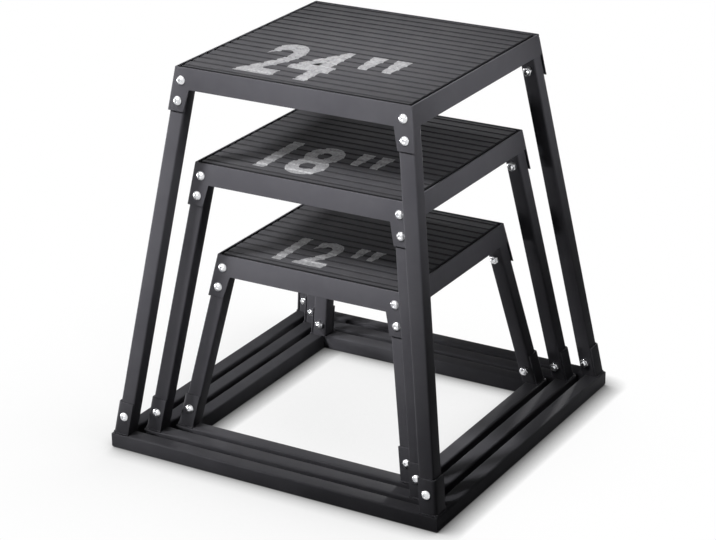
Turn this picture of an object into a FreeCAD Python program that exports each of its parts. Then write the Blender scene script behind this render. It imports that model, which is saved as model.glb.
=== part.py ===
import FreeCAD, Part
import os
import re
import Sketcher

# A nesting set of three open steel plyo boxes: large, middle and small.
# Each stands on its own square base frame, with +Z up, the floor at zero and the front at -Y.
# Every horizontal cut through the legs or the skirt of a box is square, and all four sides lean alike.

# Driving dimensions in millimetres
dimensions = {
    # Mat tops above the floor, widths across the rims, and widths across the base frames
    "large_height": 609.6,
    "middle_height": 457.2,
    "small_height": 304.8,
    "large_top": 401,
    "middle_top": 367,
    "small_top": 326,
    "large_base": 578,
    "middle_base": 506,
    "small_base": 434,
    # Square tube of the legs and base rails
    "tube_side": 25,
    "tube_wall": 2,
    "tube_corner": 3,
    # Open corner sockets round the feet of the legs, and the ledge left outside them on the rails
    "socket_wall": 3,
    "socket_rise": 52,
    "base_margin": 2,
    # Sheet metal of the platform tray
    "sheet_thickness": 2.5,
    "deck_thickness": 2.5,
    "rim_height": 5,
    "skirt_depth": 32,
    "ear_drop": 34,
    "ear_overlap": 4,
    "corner_bend": 2,
    "rim_edge": 0.8,
    # Rubber mat
    "mat_gap": 2,
    "mat_web": 4.3,
    "rib_height": 1.2,
    "rib_width": 14.75,
    "groove_width": 6,
    # Bolts and nuts, and where the bolts sit below the rim and above the base rails
    "bolt_diameter": 8,
    "bolt_standout": 3,
    "head_diameter": 14,
    "head_height": 4.4,
    "head_edge": 0.8,
    "nut_flats": 13,
    "nut_height": 6.8,
    "upper_bolt_drop": 19,
    "lower_bolt_drop": 50,
    "base_bolt_rise": 29,
    # Clearances between pieces, and how far cutting shapes run past what they cut
    "fit_gap": 0.3,
    "bolt_gap": 0.5,
    "thread_gap": 0.1,
    "cut_overrun": 6,
}

boxes = ("large", "middle", "small")
corners = {
    "front_left": (-1, -1),
    "front_right": (1, -1),
    "back_right": (1, 1),
    "back_left": (-1, 1),
}
sides = {"front": 0, "right": 90, "back": 180, "left": 270}

platform_grip = "(sheet_thickness + fit_gap + tube_side)"
socket_grip = "(socket_wall + fit_gap + tube_side)"
longest_grip = f"max({platform_grip}; {socket_grip})"
hole_radius = "bolt_diameter / 2 + bolt_gap"
rib_pitch = "(rib_width + groove_width)"

origin = FreeCAD.Vector(0, 0, 0)
across = FreeCAD.Vector(1, 0, 0)
upward = FreeCAD.Vector(0, 0, 1)

doc = FreeCAD.newDocument("plyo_boxes")
sheet = doc.addObject("Spreadsheet::Sheet", "sizes")
for row, (name, value) in enumerate(dimensions.items(), start=1):
    sheet.set(f"A{row}", name)
    sheet.set(f"B{row}", str(value))
    sheet.setAlias(f"B{row}", name)
doc.recompute()
pieces = []


# Formulas name the sheet's cells by their bare aliases

def cells(formula):
    return re.sub(r"[a-z]+(_[a-z]+)+", lambda alias: "sizes." + alias.group(), formula)


def measure(formula):
    return float(sheet.evalExpression(cells(formula)))


def bind(item, formulas):
    for name, formula in formulas.items():
        item.setExpression(name, cells(formula))


def place(item, point):
    bind(item, {f"Placement.Base.{axis}": formula for axis, formula in zip("xyz", point)})


def turn(item, axis, angle):
    item.Placement.Rotation = FreeCAD.Rotation(axis, 1)
    bind(item, {"Placement.Rotation.Angle": angle})


def from_point(point, start):
    return [f"({value}) - ({base})" for value, base in zip(point, start)]


# Shape of a box: the outer faces of its skirts, carried down, are the four sides of a pyramid

def rim_top(box):
    return f"({box}_height - mat_web - rib_height + rim_height)"


def lean(box):
    foot = f"({box}_base / 2 - base_margin - socket_wall + sheet_thickness)"
    return f"(({foot} - {box}_top / 2) / ({rim_top(box)} - tube_side))"


def half_width(box, drop):
    return f"({box}_top / 2 + {lean(box)} * ({drop}))"


def leg_centre(box, drop):
    return f"({half_width(box, drop)} - sheet_thickness - fit_gap - tube_side / 2)"


def leg_foot(box, corner):
    reach = leg_centre(box, f"{rim_top(box)} - tube_side")
    along, deep = corners[corner]
    return [f"{along} * {reach}", f"{deep} * {reach}", "tube_side"]


# Bolts: each row has its drop below the rim, its seat's distance from the middle and its grip

def bolt_rows(box):
    foot = f"({rim_top(box)} - tube_side - base_bolt_rise)"
    socket_face = f"({leg_centre(box, foot)} + tube_side / 2 + fit_gap + socket_wall)"
    return {
        "upper": ("upper_bolt_drop", half_width(box, "upper_bolt_drop"), platform_grip),
        "lower": ("lower_bolt_drop", half_width(box, "lower_bolt_drop"), platform_grip),
        "foot": (foot, socket_face, socket_grip),
    }


def on_bolt_axis(box, corner, row, inward):
    along, deep = corners[corner]
    drop, seat, _ = bolt_rows(box)[row]
    slant = f"sqrt(1 + {lean(box)}^2)"
    return [
        f"{along} * {leg_centre(box, drop)}",
        f"{deep} * ({seat} - {inward} / {slant})",
        f"{rim_top(box)} - {drop} - {inward} * {lean(box)} / {slant}",
    ]


def square_to_face(box, corner):
    return f"{-corners[corner][1]} * (90 deg - atan({lean(box)}))"


def bolt_hole(body, start, box, corner, row, inward):
    hole = body.newObject("PartDesign::SubtractiveCylinder", f"{body.Label}_{row}_hole")
    turn(hole, across, square_to_face(box, corner))
    place(hole, from_point(on_bolt_axis(box, corner, row, inward), start))
    bind(hole, {"Radius": hole_radius, "Height": f"{inward} + cut_overrun"})


# Building blocks

def new_body(name):
    body = doc.addObject("PartDesign::Body", name)
    pieces.append(body)
    return body


def new_sketch(body, plane_role, name):
    plane = next(plane for plane in body.Origin.OriginFeatures if plane.Role == plane_role)
    sketch = body.newObject("Sketcher::SketchObject", f"{body.Label}_{name}")
    sketch.AttachmentSupport = [(plane, "")]
    sketch.MapMode = "FlatFace"
    return sketch


def set_size(sketch, name, formula, *constraint):
    index = sketch.addConstraint(Sketcher.Constraint(*constraint, measure(formula)))
    sketch.renameConstraint(index, name)
    bind(sketch, {f"Constraints.{name}": formula})


def rounded_square(sketch, name, side, corner):
    first = sketch.GeometryCount
    half = measure(side) / 2
    bend = measure(corner)
    flat = half - bend
    for quarter in range(4):
        spin = FreeCAD.Rotation(upward, 90 * quarter)
        begin = spin.multVec(FreeCAD.Vector(-flat, -half, 0))
        end = spin.multVec(FreeCAD.Vector(flat, -half, 0))
        centre = spin.multVec(FreeCAD.Vector(flat, -flat, 0))
        rim = spin.multVec(FreeCAD.Vector(half, -flat, 0))
        middle = centre + (end - centre + rim - centre).normalize() * bend
        sketch.addGeometry(Part.LineSegment(begin, end))
        sketch.addGeometry(Part.Arc(end, middle, rim))
    lines = [first + 2 * quarter for quarter in range(4)]
    arcs = [line + 1 for line in lines]
    for quarter in range(4):
        following = lines[(quarter + 1) % 4]
        sketch.addConstraint(Sketcher.Constraint("Tangent", lines[quarter], 2, arcs[quarter], 1))
        sketch.addConstraint(Sketcher.Constraint("Tangent", arcs[quarter], 2, following, 1))
        direction = "Vertical" if quarter % 2 else "Horizontal"
        sketch.addConstraint(Sketcher.Constraint(direction, lines[quarter]))
    for arc in arcs[1:]:
        sketch.addConstraint(Sketcher.Constraint("Equal", arcs[0], arc))
    sketch.addConstraint(Sketcher.Constraint("Equal", lines[0], lines[1]))
    sketch.addConstraint(Sketcher.Constraint("Symmetric", arcs[0], 3, arcs[2], 3, -1, 1))
    set_size(sketch, f"{name}_corner", corner, "Radius", arcs[0])
    set_size(sketch, f"{name}_side", side, "DistanceX", lines[3], 1, lines[1], 1)


def tube_section(body, plane_role, side, corner, wall):
    sketch = new_sketch(body, plane_role, "section")
    rounded_square(sketch, "outer", side, corner)
    rounded_square(sketch, "inner", f"{side} - 2 * {wall}", f"{corner} - {wall}")
    return sketch


def angle_section(body, corner):
    sketch = new_sketch(body, "XY_Plane", "section")
    spin = FreeCAD.Rotation(upward, 90 * list(corners).index(corner))
    end = measure("tube_side / 2")
    bend = measure("tube_side / 2 - tube_corner")
    inner = measure("tube_side / 2 + fit_gap")
    outer = inner + measure("socket_wall")
    outline = [(-outer, end), (-outer, -bend), (-bend, -outer), (end, -outer),
               (end, -inner), (-bend, -inner), (-inner, -bend), (-inner, end)]
    points = [spin.multVec(FreeCAD.Vector(x, y, 0)) for x, y in outline]
    middle = spin.multVec(FreeCAD.Vector(-bend, -bend, 0))

    def line(begin, finish):
        return sketch.addGeometry(Part.LineSegment(points[begin], points[finish]))

    def arc(begin, finish):
        first, last = points[begin] - middle, points[finish] - middle
        top = middle + (first + last).normalize() * first.Length
        return sketch.addGeometry(Part.Arc(points[begin], top, points[finish]))

    def join(kind, *ends):
        sketch.addConstraint(Sketcher.Constraint(kind, *ends))

    side = line(0, 1)
    outer_bend = arc(1, 2)
    face = line(2, 3)
    face_end = line(3, 4)
    face_back = line(4, 5)
    inner_bend = arc(6, 5)
    side_back = line(6, 7)
    side_end = line(7, 0)
    join("Tangent", side, 2, outer_bend, 1)
    join("Tangent", outer_bend, 2, face, 1)
    join("Coincident", face, 2, face_end, 1)
    join("Coincident", face_end, 2, face_back, 1)
    join("Tangent", face_back, 2, inner_bend, 2)
    join("Tangent", side_back, 1, inner_bend, 1)
    join("Coincident", side_back, 2, side_end, 1)
    join("Coincident", side_end, 2, side, 1)
    join("Coincident", outer_bend, 3, inner_bend, 3)
    join("Equal", side, face)
    along, deep = corners[corner]
    parallel = ("Vertical", "Horizontal") if along * deep > 0 else ("Horizontal", "Vertical")
    for direction, lines in zip(parallel, ((side, face_end, side_back), (face, face_back, side_end))):
        for item in lines:
            join(direction, item)
    for axis, sign in zip("XY", (along, deep)):
        ends = (-1, 1, outer_bend, 3) if sign > 0 else (outer_bend, 3, -1, 1)
        set_size(sketch, f"bend_{axis}", "tube_side / 2 - tube_corner", f"Distance{axis}", *ends)
    set_size(sketch, "bend_radius", "tube_corner + fit_gap", "Radius", inner_bend)
    set_size(sketch, "wall", "socket_wall", "Distance", face_end)
    set_size(sketch, "flat", "tube_side - tube_corner", "Distance", side)
    return sketch


def leaning_pad(body, sketch, box, corner, rise):
    along, deep = corners[corner]
    pad = body.newObject("PartDesign::Pad", f"{body.Label}_tube")
    pad.Profile = sketch
    pad.UseCustomVector = True
    pad.AlongSketchNormal = True
    pad.Direction = upward
    bind(pad, {
        "Direction.x": f"{-along} * {lean(box)}",
        "Direction.y": f"{-deep} * {lean(box)}",
        "Length": rise,
    })


def frustum(body, kind, name, low, high, across_halves, deep_halves):
    wedge = body.newObject(f"PartDesign::{kind}Wedge", f"{body.Label}_{name}")
    wedge.Placement = FreeCAD.Placement(origin, FreeCAD.Rotation(across, 90))
    bind(wedge, {"Ymin": low, "Ymax": high})
    for end, across_half, deep_half in zip(("", "2"), across_halves, deep_halves):
        bind(wedge, {
            f"X{end}min": f"-({across_half})",
            f"X{end}max": across_half,
            f"Z{end}min": f"-({deep_half})",
            f"Z{end}max": deep_half,
        })
    return wedge


def block(body, kind, name, size, point):
    item = body.newObject(f"PartDesign::{kind}Box", f"{body.Label}_{name}")
    bind(item, dict(zip(("Length", "Width", "Height"), size)))
    place(item, point)
    return item


def fillet(body, name, radius, wanted):
    doc.recompute()
    base = body.Tip
    edges = [f"Edge{i}" for i, edge in enumerate(base.Shape.Edges, start=1) if wanted(edge)]
    rounding = body.newObject("PartDesign::Fillet", f"{body.Label}_{name}")
    rounding.Base = (base, edges)
    bind(rounding, {"Radius": radius})


# Platform tray: rim, deck and leaning skirts, with ears at the ends of the front and back skirts

def platform_tray(box):
    body = new_body(f"{box}_platform_tray")
    start = ["0", "0", rim_top(box)]
    place(body, start)
    depth = "(skirt_depth + ear_drop)"
    below = f"({depth} + cut_overrun)"
    under_deck = "(rim_height + deck_thickness)"
    beyond = f"({half_width(box, below)} + cut_overrun)"
    ear_width = "(sheet_thickness + fit_gap + tube_side + ear_overlap)"

    def narrowed(low, high, by):
        return [f"{half_width(box, low)} - {by}", f"{half_width(box, high)} - {by}"]

    outside = narrowed(depth, "0", "0")
    frustum(body, "Additive", "outside", f"-{depth}", "0", outside, outside)
    inside = narrowed(below, under_deck, "sheet_thickness")
    frustum(body, "Subtractive", "underside", f"-{below}", f"-{under_deck}", inside, inside)
    recess = f"({box}_top - 2 * sheet_thickness)"
    block(body, "Subtractive", "recess", [recess, recess, "rim_height + cut_overrun"],
          [f"-{recess} / 2", f"-{recess} / 2", "-rim_height"])
    trimmed = narrowed(below, "skirt_depth", "sheet_thickness")
    frustum(body, "Subtractive", "side_trim", f"-{below}", "-skirt_depth", [beyond, beyond], trimmed)
    notch = narrowed(below, "skirt_depth", ear_width)
    frustum(body, "Subtractive", "ear_notch", f"-{below}", "-skirt_depth", notch, [beyond, beyond])
    for corner in corners:
        for row in ("upper", "lower"):
            bolt_hole(body, start, box, corner, row, "cut_overrun")

    near = measure("sheet_thickness") / 2
    half_top = measure(f"{box}_top") / 2
    slope = measure(lean(box))

    def outer_corner(edge):
        tops = [point.Point for point in edge.Vertexes]
        on_corner = all(min(abs(p.x), abs(p.y)) > half_top - slope * p.z - near for p in tops)
        return on_corner and abs(tops[0].z - tops[-1].z) > near

    def rim_outline(edge):
        middle = edge.valueAt((edge.FirstParameter + edge.LastParameter) / 2)
        at_top = all(abs(point.Point.z) < near for point in edge.Vertexes)
        return at_top and max(abs(middle.x), abs(middle.y)) > half_top - near

    fillet(body, "corner_bends", "corner_bend", outer_corner)
    fillet(body, "rim_edges", "rim_edge", rim_outline)


# Rubber mat: a slab in the tray, grooved from side to side so that flat ribs stand between.
# One groove lies in the middle, and the others follow to both sides of it.

def ribbed_mat(box):
    body = new_body(f"{box}_ribbed_mat")
    place(body, ["0", "0", f"{rim_top(box)} - rim_height"])
    side = f"({box}_top - 2 * sheet_thickness - 2 * mat_gap)"
    grooves = f"(2 * floor(({side} - groove_width) / (2 * {rib_pitch})) + 1)"
    block(body, "Additive", "slab", [side, side, "mat_web + rib_height"],
          [f"-{side} / 2", f"-{side} / 2", "0"])
    first = f"-({grooves} - 1) * {rib_pitch} / 2 - groove_width / 2"
    groove = block(body, "Subtractive", "groove",
                   [f"{side} + 2 * cut_overrun", "groove_width", "rib_height + cut_overrun"],
                   [f"-{side} / 2 - cut_overrun", first, "mat_web"])
    doc.recompute()
    pattern = body.newObject("PartDesign::LinearPattern", f"{body.Label}_grooves")
    pattern.Originals = [groove]
    axis = next(axis for axis in body.Origin.OriginFeatures if axis.Role == "Y_Axis")
    pattern.Direction = (axis, [""])
    bind(pattern, {"Length": f"({grooves} - 1) * {rib_pitch}", "Occurrences": grooves})
    body.Tip = pattern


# Leg: square tube from the base rails up to the deck

def leg(box, corner):
    body = new_body(f"{box}_leg_{corner}")
    start = leg_foot(box, corner)
    place(body, start)
    section = tube_section(body, "XY_Plane", "tube_side", "tube_corner", "tube_wall")
    leaning_pad(body, section, box, corner,
                f"{rim_top(box)} - rim_height - deck_thickness - tube_side")
    for row in bolt_rows(box):
        bolt_hole(body, start, box, corner, row, f"({longest_grip} + cut_overrun)")


# Socket: angle round the two outer faces of a leg's foot, standing on the base rails

def socket(box, corner):
    body = new_body(f"{box}_socket_{corner}")
    start = leg_foot(box, corner)
    place(body, start)
    leaning_pad(body, angle_section(body, corner), box, corner, "socket_rise")
    bolt_hole(body, start, box, corner, "foot", f"({socket_grip} + cut_overrun)")


# Base rail: square tube along one side of the base, mitred at both ends

def rail(box, side):
    body = new_body(f"{box}_rail_{side}")
    reach = f"({box}_base / 2 - tube_side / 2)"
    turn(body, upward, f"{sides[side]} deg")
    place(body, [f"{reach} * sin({sides[side]} deg)", f"-{reach} * cos({sides[side]} deg)", "0"])
    section = tube_section(body, "YZ_Plane", "tube_side", "tube_corner", "tube_wall")
    bind(section, {"AttachmentOffset.Base.y": "tube_side / 2"})
    pad = body.newObject("PartDesign::Pad", f"{body.Label}_tube")
    pad.Profile = section
    pad.Midplane = True
    bind(pad, {"Length": f"{box}_base + 2 * cut_overrun"})
    for end in (-1, 1):
        cut = block(body, "Subtractive", "mitre",
                    ["2 * (tube_side + cut_overrun)"] * 2 + ["tube_side + 2 * cut_overrun"],
                    [f"{end} * ({box}_base / 2 + cut_overrun)",
                     "-tube_side / 2 - cut_overrun", "-cut_overrun"])
        turn(cut, upward, "45 deg")


# Bolt and nut: one of each is drawn, pointing up and out of the face that it clamps

def bolt_model():
    body = doc.addObject("PartDesign::Body", "bolt")
    sketch = new_sketch(body, "XZ_Plane", "profile")
    shank = measure("bolt_diameter") / 2
    head = measure("head_diameter") / 2
    length = f"{longest_grip} + nut_height + bolt_standout"
    foot = -measure(length)
    crown = measure("head_height")
    edge = measure("head_edge")
    outline = [(0, crown), (0, foot), (shank, foot), (shank, 0), (head, 0), (head, edge)]
    points = [FreeCAD.Vector(x, z, 0) for x, z in outline]
    for begin, end in zip(points, points[1:]):
        sketch.addGeometry(Part.LineSegment(begin, end))
    dome = (head**2 + (crown - edge)**2) / (2 * (crown - edge))
    aim = FreeCAD.Vector(head / 2, edge + dome - crown + (crown - edge) / 2, 0).normalize() * dome
    sketch.addGeometry(Part.Arc(points[-1], FreeCAD.Vector(0, crown - dome, 0) + aim, points[0]))
    count = len(points)
    for index in range(count - 1):
        sketch.addConstraint(Sketcher.Constraint("Coincident", index, 2, index + 1, 1))
        direction = "Horizontal" if index % 2 else "Vertical"
        sketch.addConstraint(Sketcher.Constraint(direction, index))
    sketch.addConstraint(Sketcher.Constraint("Coincident", count - 1, 2, 0, 1))
    sketch.addConstraint(Sketcher.Constraint("PointOnObject", 0, 1, -2))
    sketch.addConstraint(Sketcher.Constraint("PointOnObject", 3, 1, -1))
    sketch.addConstraint(Sketcher.Constraint("PointOnObject", count - 1, 3, -2))
    set_size(sketch, "shank", "bolt_diameter / 2", "DistanceX", -1, 1, 2, 1)
    set_size(sketch, "length", length, "DistanceY", 0, 2, -1, 1)
    set_size(sketch, "head", "head_diameter / 2", "DistanceX", -1, 1, 4, 1)
    set_size(sketch, "edge", "head_edge", "DistanceY", 4, 1, 4, 2)
    set_size(sketch, "crown", "head_height", "DistanceY", -1, 1, 0, 1)
    doc.recompute()
    turned = body.newObject("PartDesign::Revolution", "bolt_turned")
    turned.Profile = sketch
    turned.ReferenceAxis = (sketch, ["V_Axis"])
    return body


def nut_model():
    body = doc.addObject("PartDesign::Body", "nut")
    hexagon = body.newObject("PartDesign::AdditivePrism", "nut_hexagon")
    hexagon.Polygon = 6
    bind(hexagon, {"Circumradius": "nut_flats / sqrt(3)", "Height": "nut_height"})
    place(hexagon, ["0", "0", "-nut_height"])
    bore = body.newObject("PartDesign::SubtractiveCylinder", "nut_bore")
    bind(bore, {"Radius": "bolt_diameter / 2 + thread_gap", "Height": "nut_height + 2 * cut_overrun"})
    place(bore, ["0", "0", "-nut_height - cut_overrun"])
    return body


def fasteners(box, name, model, inward):
    copies = []
    for corner in corners:
        for row, (_, _, grip) in bolt_rows(box).items():
            copy = doc.addObject("App::Link", f"{box}_{name}_{corner}_{row}")
            copy.LinkedObject = model
            turn(copy, across, square_to_face(box, corner))
            place(copy, on_bolt_axis(box, corner, row, inward(grip)))
            copies.append(copy)
    group = doc.addObject("Part::Compound", f"{box}_{name}")
    group.Links = copies
    pieces.append(group)


bolt = bolt_model()
nut = nut_model()
for box in boxes:
    platform_tray(box)
    ribbed_mat(box)
    for corner in corners:
        leg(box, corner)
        socket(box, corner)
    for side in sides:
        rail(box, side)
    fasteners(box, "bolts", bolt, lambda grip: "0")
    fasteners(box, "nuts", nut, lambda grip: f"({grip} / sqrt(1 + {lean(box)}^2))")
doc.recompute()

for item in doc.Objects:
    if {"Invalid", "Error"} & set(item.State):
        raise RuntimeError(f"{item.Label} did not build")
for piece in pieces:
    if piece.Shape.isNull() or not piece.Shape.isValid():
        raise RuntimeError(f"{piece.Label} has no sound shape")

os.makedirs("parts", exist_ok=True)
for piece in pieces:
    piece.Shape.exportStep(os.path.join("parts", f"{piece.Label}.step"))
    print(f"{piece.Label}: {len(piece.Shape.Solids)} solids, {piece.Shape.Volume:.0f} mm3")
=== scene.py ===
import bmesh
import bpy
import math
from mathutils import Matrix, Vector
from types import SimpleNamespace


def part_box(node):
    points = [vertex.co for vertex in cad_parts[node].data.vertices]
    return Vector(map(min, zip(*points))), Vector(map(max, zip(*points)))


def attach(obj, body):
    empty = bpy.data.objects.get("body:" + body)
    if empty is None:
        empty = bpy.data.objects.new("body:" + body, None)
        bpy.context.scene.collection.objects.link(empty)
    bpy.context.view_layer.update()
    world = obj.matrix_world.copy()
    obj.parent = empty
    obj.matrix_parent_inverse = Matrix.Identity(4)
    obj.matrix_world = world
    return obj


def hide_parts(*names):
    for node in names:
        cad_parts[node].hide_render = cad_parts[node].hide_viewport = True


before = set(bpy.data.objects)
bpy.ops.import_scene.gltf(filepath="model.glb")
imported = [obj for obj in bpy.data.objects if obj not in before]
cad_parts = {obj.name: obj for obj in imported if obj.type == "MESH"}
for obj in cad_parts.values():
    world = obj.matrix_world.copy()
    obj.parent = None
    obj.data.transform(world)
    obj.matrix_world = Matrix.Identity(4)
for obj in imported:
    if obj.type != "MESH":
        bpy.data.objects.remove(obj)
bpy.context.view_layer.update()        # the three packed boxes, in metres
scene = bpy.context.scene
mm = 0.001
quarterTurn = math.pi / 2
boxNames = ("large", "middle", "small")
cornerSigns = {"front_left": (-1, -1), "front_right": (1, -1), "back_right": (1, 1), "back_left": (-1, 1)}
ringSigns = ((1, -1), (1, 1), (-1, 1), (-1, -1))     # corners in the order of a ring, from the front right
sideTurns = {"front": 0, "right": 1, "back": 2, "left": 3}   # quarter turns from the front
print("frame loaded:", len(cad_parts), "nodes")


# Sizes of one box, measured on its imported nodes

def readLayout(box):
    railLow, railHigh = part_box(box + "_rail_front")
    legLow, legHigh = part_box(box + "_leg_front_right")
    socketLow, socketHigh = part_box(box + "_socket_front_right")
    trayLow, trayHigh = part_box(box + "_platform_tray")
    matLow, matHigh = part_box(box + "_ribbed_mat")
    tube = railHigh.z
    lean = (legHigh.x - legLow.x - tube) / (legHigh.z - legLow.z)   # sideways per metre of height
    return SimpleNamespace(
        tube=tube,
        lean=lean,
        slant=math.hypot(1, lean),
        baseHalf=-railLow.y,
        legFoot=legLow.z,
        legTop=legHigh.z,
        legReach=legHigh.x - tube / 2,
        socketTop=socketHigh.z,
        socketGrip=socketHigh.x - socketLow.x - lean * (socketHigh.z - socketLow.z),
        rimTop=trayHigh.z,
        earFoot=trayLow.z,
        rimHalf=trayHigh.x - lean * (trayHigh.z - trayLow.z),
        matHalf=matHigh.x,
        matFoot=matLow.z,
        matTop=matHigh.z,
    )


def skirtHalf(layout, z):        # half width over the skirts' outer faces, carried down to this height
    return layout.rimHalf + layout.lean * (layout.rimTop - z)


def legCentre(layout, z):
    return layout.legReach - layout.lean * (z - layout.legFoot)


# Node helpers

def addNode(tree, kind, inputs=None, **settings):
    made = tree.nodes.new(kind)
    for name, value in settings.items():
        setattr(made, name, value)
    for key, value in (inputs or {}).items():
        if isinstance(value, bpy.types.NodeSocket):
            tree.links.new(value, made.inputs[key])
        else:
            made.inputs[key].default_value = value
    return made


def newGroup(kind, name, inputs, outputs):   # a node tree with named sockets
    tree = bpy.data.node_groups.new(name, kind)
    for direction, sockets in (("INPUT", inputs), ("OUTPUT", outputs)):
        for label, socketType in sockets.items():
            tree.interface.new_socket(label, in_out=direction, socket_type="NodeSocket" + socketType)
    return tree, tree.nodes.new("NodeGroupInput").outputs, tree.nodes.new("NodeGroupOutput").inputs


def mixColours(tree, factor, first, second):
    mixed = addNode(tree, "ShaderNodeMix", {0: factor, 6: first, 7: second}, data_type="RGBA")
    return mixed.outputs[2]


def remap(tree, value, low, high, toLow=0.0, toHigh=1.0):
    ranged = addNode(tree, "ShaderNodeMapRange", {0: value, 1: low, 2: high, 3: toLow, 4: toHigh})
    return ranged.outputs[0]


def compute(tree, operation, *values):       # one step of arithmetic
    return addNode(tree, "ShaderNodeMath", dict(enumerate(values)), operation=operation).outputs[0]


def product(tree, first, second):
    return compute(tree, "MULTIPLY", first, second)


def cloud(tree, place, scale, detail, roughness=0.5):    # soft noise
    inputs = {"Vector": place, "Scale": scale, "Detail": detail, "Roughness": roughness}
    return addNode(tree, "ShaderNodeTexNoise", inputs).outputs[0]


# Effects that several finishes share

# The last three values shape the painted shade near the floor
effectLook = {"fineDetail": 2.0, "slowShare": 0.012, "slowDetail": 4.0, "slowRoughness": 0.6,
              "toneRange": (0.3, 0.7), "bevelSamples": 4, "edgeTurn": (0.99, 0.86), "wearDetail": 5.0,
              "wearPatch": (0.42, 0.62), "facingUp": (0.55, 0.95), "dustDetail": 6.0, "dustRoughness": 0.65,
              "dustDrift": (0.35, 0.75), "lowShadeDetail": 5.0, "lowShadePatch": (0.3, 0.6), "lowShadeLeast": 0.6}


def grainGroup():        # fine bumps and a slow drift of tone
    tree, given, out = newGroup("ShaderNodeTree", "surfaceGrain", {"Vector": "Vector", "Scale": "Float"},
                                {"Height": "Float", "Tone": "Float"})
    fine = cloud(tree, given["Vector"], given["Scale"], effectLook["fineDetail"])
    slowScale = product(tree, given["Scale"], effectLook["slowShare"])
    slow = cloud(tree, given["Vector"], slowScale, effectLook["slowDetail"], effectLook["slowRoughness"])
    tree.links.new(fine, out["Height"])
    tree.links.new(slow, out["Tone"])
    return tree


def wearGroup():         # patches along the edges, where handling rubs the finish
    tree, given, out = newGroup("ShaderNodeTree", "edgeWear",
                                {"Vector": "Vector", "Radius": "Float", "Scale": "Float"}, {"Mask": "Float"})
    rounded = addNode(tree, "ShaderNodeBevel", {"Radius": given["Radius"]},
                      samples=effectLook["bevelSamples"])
    flat = addNode(tree, "ShaderNodeNewGeometry")
    turned = addNode(tree, "ShaderNodeVectorMath", {0: rounded.outputs[0], 1: flat.outputs["Normal"]},
                     operation="DOT_PRODUCT")
    edge = remap(tree, turned.outputs["Value"], *effectLook["edgeTurn"])
    broken = cloud(tree, given["Vector"], given["Scale"], effectLook["wearDetail"])
    patches = remap(tree, broken, *effectLook["wearPatch"])
    tree.links.new(product(tree, edge, patches), out["Mask"])
    return tree


def dustGroup():         # a thin film on faces that look up
    tree, given, out = newGroup("ShaderNodeTree", "settledDust", {"Vector": "Vector", "Scale": "Float"},
                                {"Mask": "Float"})
    facing = addNode(tree, "ShaderNodeNewGeometry")
    parts = addNode(tree, "ShaderNodeSeparateXYZ", {0: facing.outputs["Normal"]})
    upward = remap(tree, parts.outputs["Z"], *effectLook["facingUp"])
    film = cloud(tree, given["Vector"], given["Scale"], effectLook["dustDetail"], effectLook["dustRoughness"])
    drifts = remap(tree, film, *effectLook["dustDrift"])
    tree.links.new(product(tree, upward, drifts), out["Mask"])
    return tree


def lowShadeGroup():        # painted shade near the floor, fading out upwards and broken into soft patches
    tree, given, out = newGroup("ShaderNodeTree", "paintedLowShade",
                                {"Vector": "Vector", "Height": "Float", "Scale": "Float"}, {"Mask": "Float"})
    parts = addNode(tree, "ShaderNodeSeparateXYZ", {0: given["Vector"]})
    low = remap(tree, parts.outputs["Z"], given["Height"], 0.0)
    shadeNoise = cloud(tree, given["Vector"], given["Scale"], effectLook["lowShadeDetail"])
    patches = remap(tree, shadeNoise, *effectLook["lowShadePatch"], effectLook["lowShadeLeast"])
    tree.links.new(product(tree, low, patches), out["Mask"])
    return tree


effects = {"grain": grainGroup(), "wear": wearGroup(), "dust": dustGroup(), "lowShade": lowShadeGroup()}


def useEffect(tree, name, inputs):
    return addNode(tree, "ShaderNodeGroup", inputs, node_tree=effects[name]).outputs


def newMaterial(name):
    material = bpy.data.materials.new(name)
    material.use_nodes = True
    tree = material.node_tree
    shader = next(node for node in tree.nodes if node.type == "BSDF_PRINCIPLED")
    place = addNode(tree, "ShaderNodeTexCoord").outputs["Object"]
    return material, tree, shader, place


def driftingColour(tree, grain, look):       # wanders slowly between two tones
    tone = remap(tree, grain["Tone"], *effectLook["toneRange"])
    return mixColours(tree, tone, look["dark"], look["light"])


def cover(tree, base, look, layer, mask):    # lays one of the look's colours over the base
    return mixColours(tree, product(tree, mask, look[layer + "Share"]), base, look[layer])


def finishSurface(tree, shader, look, colour, grain):    # colour, gloss and fine bumps
    gloss = remap(tree, grain["Tone"], *effectLook["toneRange"], *look["roughness"])
    bump = addNode(tree, "ShaderNodeBump", {"Height": grain["Height"], "Distance": look["bumpDepth"],
                                            "Strength": look["bumpStrength"]})
    tree.links.new(colour, shader.inputs["Base Color"])
    tree.links.new(gloss, shader.inputs["Roughness"])
    tree.links.new(bump.outputs[0], shader.inputs["Normal"])


# Finishes

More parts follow.
